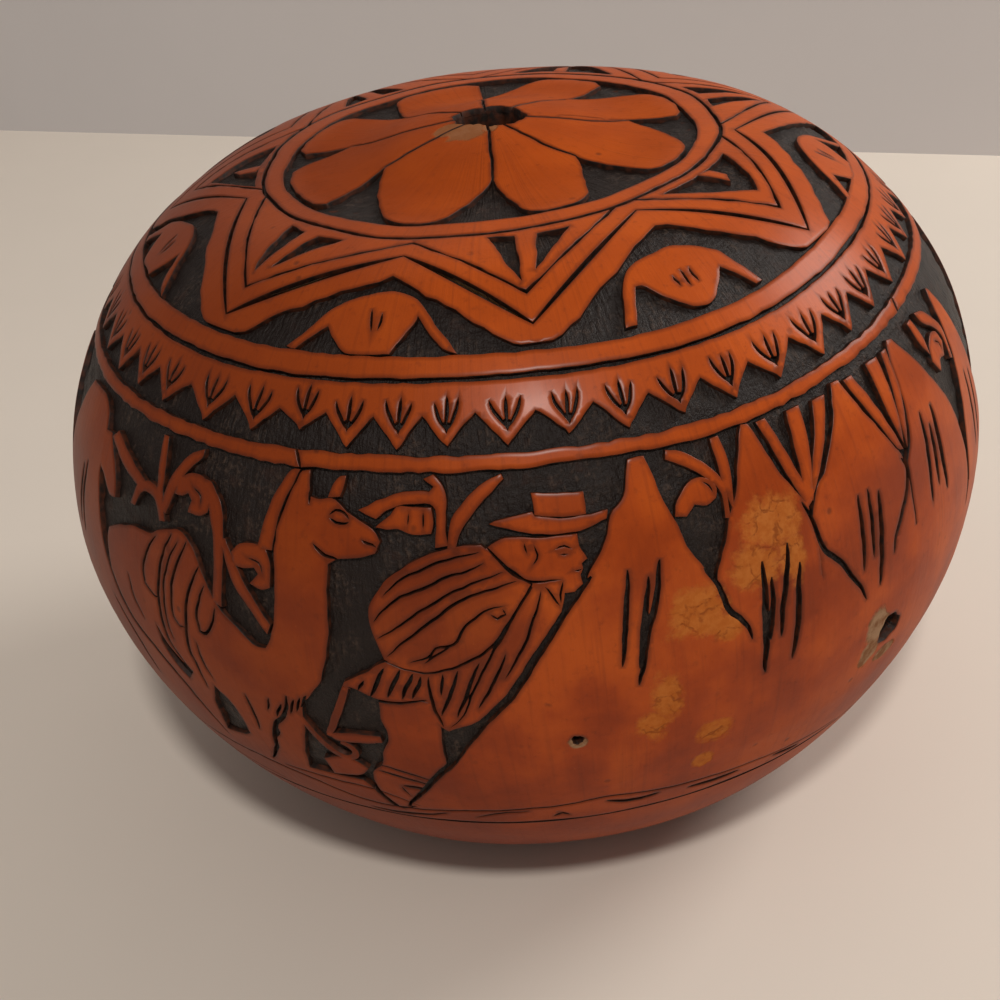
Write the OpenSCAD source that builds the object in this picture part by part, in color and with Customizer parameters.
// Carved gourd box: a dried, hollow gourd with a lid cut out of its crown along a
// seven-pointed star. The lid wedges into the bowl and lifts straight off.
// The carving is 1 mm deep, so the solids here have the plain outer form.

/* [Gourd] */
// Widest diameter of the gourd
body_d = 131; // [90:1:200]
// Height of the widest ring above the base
belly_h = 51; // [35:1:80]
// Height from the widest ring to the rise round the stem hole
crown_h = 47; // [35:1:80]
// Diameter of the flat underside it stands on
foot_d = 36; // [20:1:50]
// Thickness of the gourd's wall
wall = 4.5; // [3:0.1:7]

/* [Lid] */
// Number of points of the star
star_points = 7; // [5:1:9]
// Distance from the axis to the star's points, measured flat across the skin
star_tip_r = 46.8; // [40:0.1:56]
// Distance from the axis to the corners between the points
star_notch_r = 34.2; // [26:0.1:38]
// Turn of the first point, from the front towards the right
star_turn = 3; // [-25:1:25]
// Height above the base that the knife points at while it cuts the star
knife_aim_h = 50; // [20:1:60]
// Gap left by the knife between the lid and the bowl, across the cut
cut_gap = 0.3; // [0.2:0.05:0.6]
// Diameter of the hole left by the stem
stem_hole_d = 10; // [6:0.5:14]

/* [Holes in the bowl] */
// Diameter of the small peg hole
peg_hole_d = 1.6; // [1.3:0.1:3]
// Height of the peg hole above the base
peg_hole_h = 41; // [30:1:60]
// Turn of the peg hole, from the front towards the right
peg_hole_turn = 1.5; // [-180:0.5:180]
// Diameter of the larger hole with the worn edge
worn_hole_d = 4; // [2:0.1:7]
// Height of the worn hole above the base
worn_hole_h = 40; // [30:1:60]
// Turn of the worn hole, from the front towards the right
worn_hole_turn = 42; // [-180:0.5:180]

/* [Hidden] */
$fn = 96;

body_r = body_d / 2;
full_h = belly_h + crown_h;

// Outline of the skin from the stem to the widest ring: the first number is a share of
// body_r, the second a share of crown_h
CROWN = [[0, 1], [0.15, 0.975], [0.30, 0.920], [0.46, 0.908], [0.61, 0.869],
    [0.765, 0.731], [0.885, 0.531], [0.968, 0.292], [1, 0]];
// Outline from the widest ring to the edge of the foot: the first number is a share of
// the way from the foot's edge to body_r, the second a share of belly_h
FLANK = [[1, 0], [0.966, 0.235], [0.880, 0.445], [0.750, 0.640], [0.596, 0.800],
    [0.437, 0.905], [0.242, 0.972], [0, 1]];
// Straight pieces that each curved stretch of the outline is cut into
outline_steps = 2;

foot_r = foot_d / 2;
knots = concat(
    [for (p = CROWN) [p[0] * body_r, belly_h + p[1] * crown_h]],
    [for (i = [1:len(FLANK) - 1]) [foot_r + FLANK[i][0] * (body_r - foot_r),
        belly_h * (1 - FLANK[i][1])]]
);

// The outline is mirrored past the axis and run on along the floor, so that its ends
// are level
function knot(i) = i < 0 ? [-knots[1][0], knots[1][1]]
    : i < len(knots) ? knots[i] : [0, 0];
// Point at the share t of the stretch that starts at knot i, on a curve through all knots
function curve(a, b, c, d, t) = b + t / 2 * ((c - a)
    + t * ((2 * a - 5 * b + 4 * c - d) + t * (3 * (b - c) + d - a)));
function skin_at(i, t) = curve(knot(i - 1), knot(i), knot(i + 1), knot(i + 2), t);
skin = [for (i = [0:len(knots) - 2], k = [0:outline_steps - 1]) skin_at(i, k / outline_steps),
    knots[len(knots) - 1]];

// The inner face of the wall lies one wall thickness along the normal of each skin point
function before(i) = skin[max(i - 1, 0)];
function after(i) = skin[min(i + 1, len(skin) - 1)];
function inward(i) = i == 0 ? [0, -1] : i == len(skin) - 1 ? [0, 1]
    : let (run = after(i) - before(i)) [run[1], -run[0]] / norm(run);
lining = [for (i = [0:len(skin) - 1]) skin[i] + wall * inward(i)];

// Height of the skin on the crown at a distance from the axis
crown_rows = [for (p = skin) if (p[1] >= belly_h) [p[0], p[1]]];
function crown_z(r) = lookup(r, crown_rows);
// Distance of the skin from the axis on the flank at a height
flank_rows = [for (i = [len(skin) - 1:-1:0]) if (skin[i][1] <= belly_h)
    [skin[i][1], skin[i][0]]];
function flank_r(h) = lookup(h, flank_rows);

// The star was marked out by eye: the turn in degrees and the distance in mm by which
// each corner strays from an even star, from the first point on
STRAY = [[0, 0], [1.3, -0.3], [-0.6, 0.8], [2.6, -0.7], [1, -0.4], [-1.2, 0.1], [0.8, 0.1],
    [-0.9, -0.2], [-1.1, -0.6], [1.4, 0.4], [3, -0.6], [-4.4, -0.2], [0.6, 0.5], [3.2, 1.7]];

// The star's cut: planes through the knife's aim, out past the skin
cut_reach = 1.5;
corners = 2 * star_points;
function star_ray(i) = let (
        stray = STRAY[(i % corners) % len(STRAY)],
        r = (i % 2 == 0 ? star_tip_r : star_notch_r) + stray[1],
        a = star_turn + 360 / corners * i + stray[0]
    ) [r * sin(a), -r * cos(a), crown_z(r) - knife_aim_h];
// Rise of the lid's planes that leaves cut_gap across the cut of each of them
function rise(n) = cut_gap * norm(n) / abs(n[2]);
cut_rise = max([for (i = [0:corners - 1]) rise(cross(star_ray(i), star_ray(i + 1)))]);

module wall_of_revolution() {
    rotate_extrude() polygon(concat(
        skin, [[0, 0]], [[0, wall]],
        [for (i = [len(lining) - 1:-1:0]) lining[i]]));
}

module star_cut(up) {
    translate([0, 0, knife_aim_h + up])
    polyhedron(
        points = concat(
            [[0, 0, 0], [0, 0, cut_reach * full_h]],
            [for (i = [0:corners - 1]) cut_reach * star_ray(i)]),
        faces = concat(
            [for (i = [0:corners - 1]) [0, 2 + i, 2 + (i + 1) % corners]],
            [for (i = [0:corners - 1]) [1, 2 + (i + 1) % corners, 2 + i]]));
}

module side_hole(d, h, turn) {
    rotate([0, 0, turn]) translate([0, -flank_r(h), h])
        rotate([90, 0, 0]) cylinder(d = d, h = 4 * wall, center = true);
}

module gourd_bowl() {
    color([0.66, 0.27, 0.11])
    difference() {
        wall_of_revolution();
        star_cut(0);
        side_hole(peg_hole_d, peg_hole_h, peg_hole_turn);
        side_hole(worn_hole_d, worn_hole_h, worn_hole_turn);
    }
}

module gourd_lid() {
    color([0.78, 0.30, 0.09])
    difference() {
        intersection() {
            wall_of_revolution();
            star_cut(cut_rise);
        }
        translate([0, 0, belly_h]) cylinder(d = stem_hole_d, h = 2 * crown_h);
    }
}

gourd_bowl();
gourd_lid();
